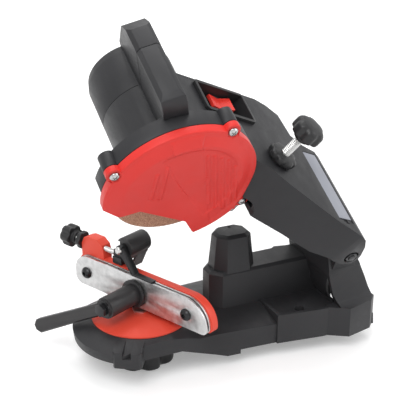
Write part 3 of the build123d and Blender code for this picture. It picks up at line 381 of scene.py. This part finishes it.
# the red guard, millimetres and degrees round the disc axis; a span's fades are the widths of its soft ends
discGuard = {
    "around": 720, "rim": 62.0, "seam": -1.0, "lip": 5.3, "lipInset": 0.9, "plateau": 9.5, "plateauRim": 49.0,
    "wallInside": 60.0, "wallEnd": 60.6, "cutWall": 0.5, "cutLift": 0.01,
    "ceiling": 7.5, "ceilingEdge": 4.5, "ceilingRim": 48.0, "ceilingHole": 0.06, "ceilingRows": 9,
    "shelf": 59.8, "shelfInset": 0.6, "shelfRows": 16, "topHole": 0.03, "topRows": 62,
    "wallSteps": [(0.0, 0.0), (0.0, 0.5), (0.0, 0.9), (0.12, 0.975), (0.45, 1.0)],
    "underside": [(-60, -31), (-50, -40), (-33, -41), (-20, -30), (30, -31), (45, -40), (49, -41.5),
                  (70, -41)],
    "rear": {"rim": 63.0, "span": (-75, 8), "topFades": (4, 36), "rimFades": (2, 12),
             "ceilingSpan": (-73, 3)},
    "ears": {"rearAt": (70.5, -1.0), "reach": 62.5, "angles": (90, 185), "radius": 6.5, "top": 3.9,
             "seat": 4.4, "seatFade": 0.7, "from": 61.8, "fromFade": 0.6, "margin": 1.0,
             "collar": 0.1, "collarAt": 5.3, "collarWidth": 0.6},
    "patch": {"span": (113.0, 139.0), "fades": (1.2, 1.2), "band": (45.9, 58.5), "bandFades": (1.0, 3.0),
              "rise": 0.45, "flattening": 0.25},
    "dish": {"rim": 45.3, "rimFade": 1.2, "drop": 0.7, "span": (-25, 150), "fades": (8, 6)},
    "step": {"drop": 0.45, "line": 26.6, "lineFade": 1.2, "rim": 58, "rimFade": 4},
    "bead": {"height": 0.2, "at": 60.5, "width": 0.6},
    "ribs": {"height": 0.8, "width": 2.6, "fade": 0.9, "runs": [
        ((-5.8, 37.8), (35.7, -7.8)), ((0.2, 39.4), (45.1, -9.3)), ((7.9, 39.3), (51.7, -7.7)),
        ((15.7, 39.2), (54.5, -2.0)), ((26.4, 35.0), (56.4, 3.6)), ((-34.0, 9.5), (-20.6, -15.2)),
        ((-31.2, 18.2), (-12.8, -13.3))]},
}


def earCentres(look):
    turned = [math.radians(a) for a in look["angles"]]
    return [(look["reach"] * math.cos(a), look["reach"] * math.sin(a)) for a in turned] + [look["rearAt"]]


def patchHeight(look, p, w, r, turn):
    # a facet in the sloping rim: the rise plus a share of r less its run along the facet's middle
    middle = math.radians(sum(look["span"]) / 2)
    alongMiddle = p * math.cos(middle) + w * math.sin(middle)
    inside = within(turn, look["span"], look["fades"]) * within(r, look["band"], look["bandFades"])
    return inside * (look["rise"] + look["flattening"] * (r - alongMiddle))


def ribHeight(look, p, w):
    # straight ribs: soft step of half the width less the distance to the rib's middle line
    height = 0 * p
    for a, b in look["runs"]:
        run = np.subtract(b, a)
        share = np.clip(((p - a[0]) * run[0] + (w - a[1]) * run[1]) / (run @ run), 0, 1)
        off = np.hypot(p - a[0] - share * run[0], w - a[1] - share * run[1])
        height = height + look["height"] * softStep(look["width"] / 2 - off, look["fade"])
    return height


def guardTop(look, p, w):
    # plateau with a sloping rim that fades out at the rear, then what stands on it and what is sunk into it
    r, turn = np.hypot(p, w), np.degrees(np.arctan2(w, p))
    rear, dish, step, bead, ears = (look[key] for key in ("rear", "dish", "step", "bead", "ears"))
    slope = (look["plateau"] - look["lip"]) / (look["rim"] - look["plateauRim"])
    front = 1 - within(turn, rear["span"], rear["topFades"])
    height = look["plateau"] - slope * np.clip(r - look["plateauRim"], 0, None) * front
    height += patchHeight(look["patch"], p, w, r, turn)
    dished = softStep(dish["rim"] - r, dish["rimFade"]) * within(turn, dish["span"], dish["fades"])
    height -= dish["drop"] * dished
    sunk = softStep(p + w - step["line"], step["lineFade"]) * softStep(step["rim"] - r, step["rimFade"])
    height -= step["drop"] * sunk
    height += ribHeight(look["ribs"], p, w)
    height += bead["height"] * np.exp(-((r - bead["at"]) / bead["width"]) ** 2) * front
    for x, y in earCentres(ears):
        off = np.hypot(p - x, w - y)
        onEar = softStep(ears["radius"] + ears["margin"] - off, ears["margin"])
        outside = softStep(r - ears["from"], ears["fromFade"]) * onEar
        seat = np.maximum(softStep(ears["seat"] - off, ears["seatFade"]), outside)
        collar = ears["collar"] * np.exp(-((off - ears["collarAt"]) / ears["collarWidth"]) ** 2) * outside
        height += seat * (ears["top"] + collar - height)
    return height


def guardShell(look):
    # one skin from the middle of the ceiling out to the wall, under the lip, up the outside and over the top
    turn = np.linspace(0, 2 * math.pi, look["around"], endpoint=False)
    cosine, sine = np.cos(turn), np.sin(turn)
    degrees = np.degrees(np.arctan2(sine, cosine))
    rear, ears = look["rear"], look["ears"]
    rim = look["rim"] + (rear["rim"] - look["rim"]) * within(degrees, rear["span"], rear["rimFades"])
    for centre in earCentres(ears):
        rim = np.maximum(rim, rayToCircle(turn, centre, ears["radius"]))
    cut = rayToLine(turn, look["underside"])
    opened = cut < look["wallEnd"]
    rim = np.minimum(rim, cut)
    inner = np.where(opened, rim - look["cutWall"], look["wallInside"])
    fall = (look["ceiling"] - look["ceilingEdge"]) / (look["wallInside"] - look["ceilingRim"])
    level = (degrees > rear["ceilingSpan"][0]) & (degrees < rear["ceilingSpan"][1])
    ceilingR = inner * np.linspace(look["ceilingHole"], 1, look["ceilingRows"])[:, None]
    ceilingS = look["ceiling"] - np.where(level, 0, fall) * np.clip(ceilingR - look["ceilingRim"], 0, None)
    under = np.where(opened, ceilingS[-1] + look["cutLift"], look["seam"])
    lip = rim - look["lipInset"]
    edge = guardTop(look, lip * cosine, lip * sine)
    steps = np.array(look["wallSteps"])
    wallR = rim - steps[:, :1]
    wallS = under + (edge - under) * steps[:, 1:]
    shelf = np.minimum(lip - look["shelfInset"], look["shelf"])
    band = shelf + (lip - shelf) * np.linspace(1, 0, look["shelfRows"] + 1)[:-1, None]
    topR = np.vstack([band, shelf * np.linspace(1, look["topHole"], look["topRows"])[:, None]])
    topS = guardTop(look, topR * cosine, topR * sine)
    reach = np.vstack([ceilingR, inner, wallR, topR])
    height = np.vstack([ceilingS, under, wallS, topS])
    return np.stack([reach * cosine, reach * sine, height], -1)


guardMesh = skinMesh("disc_guard", guardShell(discGuard), headPlace, sharp=50)
addPiece("disc_guard_cover", guardMesh, slotOf["disc_guard"], bodyOf["disc_guard"], ("disc_guard",))
print("guard formed")

depthKnob = {
    "line": [(3.95, 75.1), (3.95, 65.5), (7.0, 65.5), (7.0, 69.8), (13.0, 69.6), (13.5, 71.6), (13.4, 78.4),
             (10.6, 81.4), (5.0, 82.4), (0.6, 82.5)],
    "soft": 1.6, "around": 144, "lobes": 6, "depth": 1.7, "hub": 7.5,
}
handKnob("depth_knob", depthKnob, depthPlace)

stopKnob = {
    "line": [(2.45, 94.0), (2.45, 81.0), (5.5, 81.0), (5.5, 84.6), (9.6, 84.5), (10.0, 86.0), (10.0, 93.6),
             (8.2, 96.0), (4.0, 96.5), (0.5, 96.5)],
    "soft": 1.1, "around": 120, "lobes": 6, "depth": 1.6, "hub": 5.6,
}
handKnob("stop_knob", stopKnob, stopPlace)


def ringNut(node, look, place):
    # fluted ring: a turned line that runs round through the bore and joins its own start
    profile = softProfile(look["line"], look["soft"])
    rings = turnedRings(profile, look["around"], look["lobes"], look["depth"], look["hub"])
    count, around = rings.shape[:2]
    i, j = np.meshgrid(np.arange(count), np.arange(around), indexing="ij")
    ahead, beside = (i + 1) % count, (j + 1) % around
    quads = np.stack([i * around + j, i * around + beside, ahead * around + beside, ahead * around + j], -1)
    mesh = bpy.data.meshes.new(node)
    mesh.from_pydata(movePoints(rings.reshape(-1, 3), place).tolist(), [], quads.reshape(-1, 4).tolist())
    mesh.shade_smooth()
    mesh.set_sharp_from_angle(angle=math.radians(creaseAngle))
    return addPiece(node + "_turned", mesh, slotOf[node], bodyOf[node], (node,))


depthNut = {
    "line": [(3.95, 48.2), (3.95, 41.2), (12.2, 41.2), (13.0, 42.4), (13.0, 46.2), (11.4, 47.7), (6.6, 48.2),
             (4.2, 48.2)],
    "soft": 0.9, "around": 160, "lobes": 8, "depth": 1.5, "hub": 8.0,
}
ringNut("depth_nut", depthNut, depthPlace)

stopNut = {
    "line": [(2.45, 77.5), (2.45, 72.5), (7.6, 72.5), (8.0, 73.3), (8.0, 76.6), (7.1, 77.5), (2.7, 77.5)],
    "soft": 0.6, "around": 120, "lobes": 6, "depth": 1.2, "hub": 4.6,
}
ringNut("stop_nut", stopNut, stopPlace)

lockKnob = {
    "line": [(4.05, -8.8), (4.05, -9.0), (8.0, -9.0), (8.0, -15.0), (25.0, -15.0), (28.6, -12.6),
             (29.0, -9.0), (29.0, 1.4), (27.6, 3.0), (13.0, 3.0), (13.0, 9.4), (4.05, 9.4), (4.05, 9.2)],
    "soft": 1.2, "around": 192, "lobes": 8, "depth": 4.5, "hub": 15.0,
}
ringNut("lock_knob", lockKnob, lockPlace)
print("knobs and ring nuts turned")


def screwRod(node, look, place):
    # radius falls in a rounded wave whose phase is height over pitch less angle over a full turn
    steps = int((look["top"] - look["low"]) / look["pitch"] * look["perTurn"])
    z = np.linspace(look["low"], look["top"], steps)[:, None]
    angle = np.linspace(0, 2 * math.pi, look["around"], endpoint=False)[None]
    phase = z / look["pitch"] - angle / (2 * math.pi)
    wave = np.abs(2 * (phase - np.floor(phase + 0.5)))
    ends = np.clip(np.minimum(z - look["low"], look["top"] - z) / look["runOut"], 0, 1)
    r = look["radius"] - look["depth"] * wave ** look["crest"] * ends - look["chamfer"] * (1 - ends)
    rings = np.stack([r * np.cos(angle), r * np.sin(angle), z + 0 * angle], -1)
    mesh = skinMesh(node, rings, place, sharp=80)
    return addPiece(node + "_thread", mesh, slotOf[node], bodyOf[node], (node,))


depthScrew = {"low": -23.4, "top": 75.0, "radius": 3.9, "pitch": 1.5, "depth": 0.62, "crest": 0.8,
              "runOut": 1.2, "chamfer": 0.9, "around": 28, "perTurn": 10}
screwRod("depth_rod", depthScrew, depthPlace)

stopScrew = {"low": 25.0, "top": 93.0, "radius": 2.4, "pitch": 1.0, "depth": 0.4, "crest": 0.8,
             "runOut": 0.8, "chamfer": 0.5, "around": 28, "perTurn": 10}
screwRod("stop_rod", stopScrew, stopPlace)
print("threads cut")


def seenRays(tree):
    # one where the camera, a mirror or glass looks at it, nought where it only lights the object
    path = addNode(tree, "ShaderNodeLightPath")
    first = addNode(tree, "ShaderNodeMath", operation="MAXIMUM")
    both = addNode(tree, "ShaderNodeMath", operation="MAXIMUM")
    tree.links.new(path.outputs["Is Camera Ray"], first.inputs[0])
    tree.links.new(path.outputs["Is Glossy Ray"], first.inputs[1])
    tree.links.new(first.outputs[0], both.inputs[0])
    tree.links.new(path.outputs["Is Transmission Ray"], both.inputs[1])
    return both.outputs[0]


floorLook = {"half": 3.0, "below": 0.0155, "colour": (0.80, 0.80, 0.80), "rough": 0.9,
             "nearGlow": 0.30, "farGlow": 0.65, "glowFrom": 0.35, "glowTo": 1.2}


def floorMaterial(name):
    # pale matt floor, lifted where it is looked at and more so far out, so that only the soft shadow shows
    mat, tree, bsdf = startMaterial(name)
    bsdf.inputs["Base Color"].default_value = (*floorLook["colour"], 1)
    bsdf.inputs["Roughness"].default_value = floorLook["rough"]
    bsdf.inputs["Specular IOR Level"].default_value = 0.0
    bsdf.inputs["Emission Color"].default_value = (1, 1, 1, 1)
    where = addNode(tree, "ShaderNodeTexCoord")
    away = addNode(tree, "ShaderNodeVectorMath", operation="LENGTH")
    tree.links.new(where.outputs["Object"], away.inputs[0])
    lift = rangeOf(tree, away.outputs["Value"], floorLook["nearGlow"], floorLook["farGlow"],
                   floorLook["glowFrom"], floorLook["glowTo"])
    glow = addNode(tree, "ShaderNodeMath", operation="MULTIPLY")
    tree.links.new(seenRays(tree), glow.inputs[0])
    tree.links.new(lift, glow.inputs[1])
    tree.links.new(glow.outputs[0], bsdf.inputs["Emission Strength"])
    return mat


half = floorLook["half"]
corners = [(x * half, y * half, -floorLook["below"]) for x, y in ((-1, -1), (1, -1), (1, 1), (-1, 1))]
floorMesh = bpy.data.meshes.new("floor")
floorMesh.from_pydata(corners, [], [(0, 1, 2, 3)])
floorObj = bpy.data.objects.new("floor", floorMesh)
bpy.context.scene.collection.objects.link(floorObj)
floorMesh.materials.append(floorMaterial("floor_pale"))

backdrop = {"light": 0.55, "seen": 1.0}
world = bpy.data.worlds.new("studio")
bpy.context.scene.world = world
world.use_nodes = True
tree = world.node_tree
background = tree.nodes["Background"]
background.inputs["Color"].default_value = (1, 1, 1, 1)
background.inputs["Strength"].default_value = backdrop["light"]
seen = addNode(tree, "ShaderNodeBackground", Strength=backdrop["seen"])
seen.inputs["Color"].default_value = (1, 1, 1, 1)
mix = addNode(tree, "ShaderNodeMixShader")
tree.links.new(seenRays(tree), mix.inputs["Fac"])
tree.links.new(background.outputs["Background"], mix.inputs[1])
tree.links.new(seen.outputs["Background"], mix.inputs[2])
tree.links.new(mix.outputs["Shader"], tree.nodes["World Output"].inputs["Surface"])


lampAim = (-0.03, 0, 0.1)


def addLamp(name, look):
    lamp = bpy.data.lights.new(name, "AREA")
    lamp.shape = "RECTANGLE"
    lamp.size, lamp.size_y = look["size"]
    lamp.energy = look["watts"]
    obj = bpy.data.objects.new(name, lamp)
    bpy.context.scene.collection.objects.link(obj)
    obj.location = look["at"]
    obj.rotation_euler = (Vector(lampAim) - Vector(look["at"])).to_track_quat("-Z", "Y").to_euler()


lamps = {
    "keyLamp": {"at": (-0.9, -0.9, 1.5), "size": (1.0, 1.0), "watts": 20},
    "fillLamp": {"at": (1.3, -0.9, 0.9), "size": (1.2, 1.0), "watts": 9},
    "topLamp": {"at": (0.0, 0.6, 1.8), "size": (1.4, 1.0), "watts": 14},
}
for name, look in lamps.items():
    addLamp(name, look)

view = {"eye": (-0.42431, -0.75013, 0.47613), "forward": (0.3893, 0.8334, -0.3922),
        "side": (0.9060, -0.4233, 0), "lens": 96.16, "sensor": 36}
camera = bpy.data.cameras.new("camera")
camera.sensor_width = view["sensor"]
camera.lens = view["lens"]
cameraObj = bpy.data.objects.new("camera", camera)
bpy.context.scene.collection.objects.link(cameraObj)
forward = Vector(view["forward"]).normalized()
side = Vector(view["side"]).normalized()
facing = Matrix((side, side.cross(forward), -forward)).transposed().to_4x4()
cameraObj.matrix_world = Matrix.Translation(view["eye"]) @ facing
bpy.context.scene.camera = cameraObj
bpy.context.scene.view_settings.view_transform = "Standard"
print("studio, lamps and camera placed")
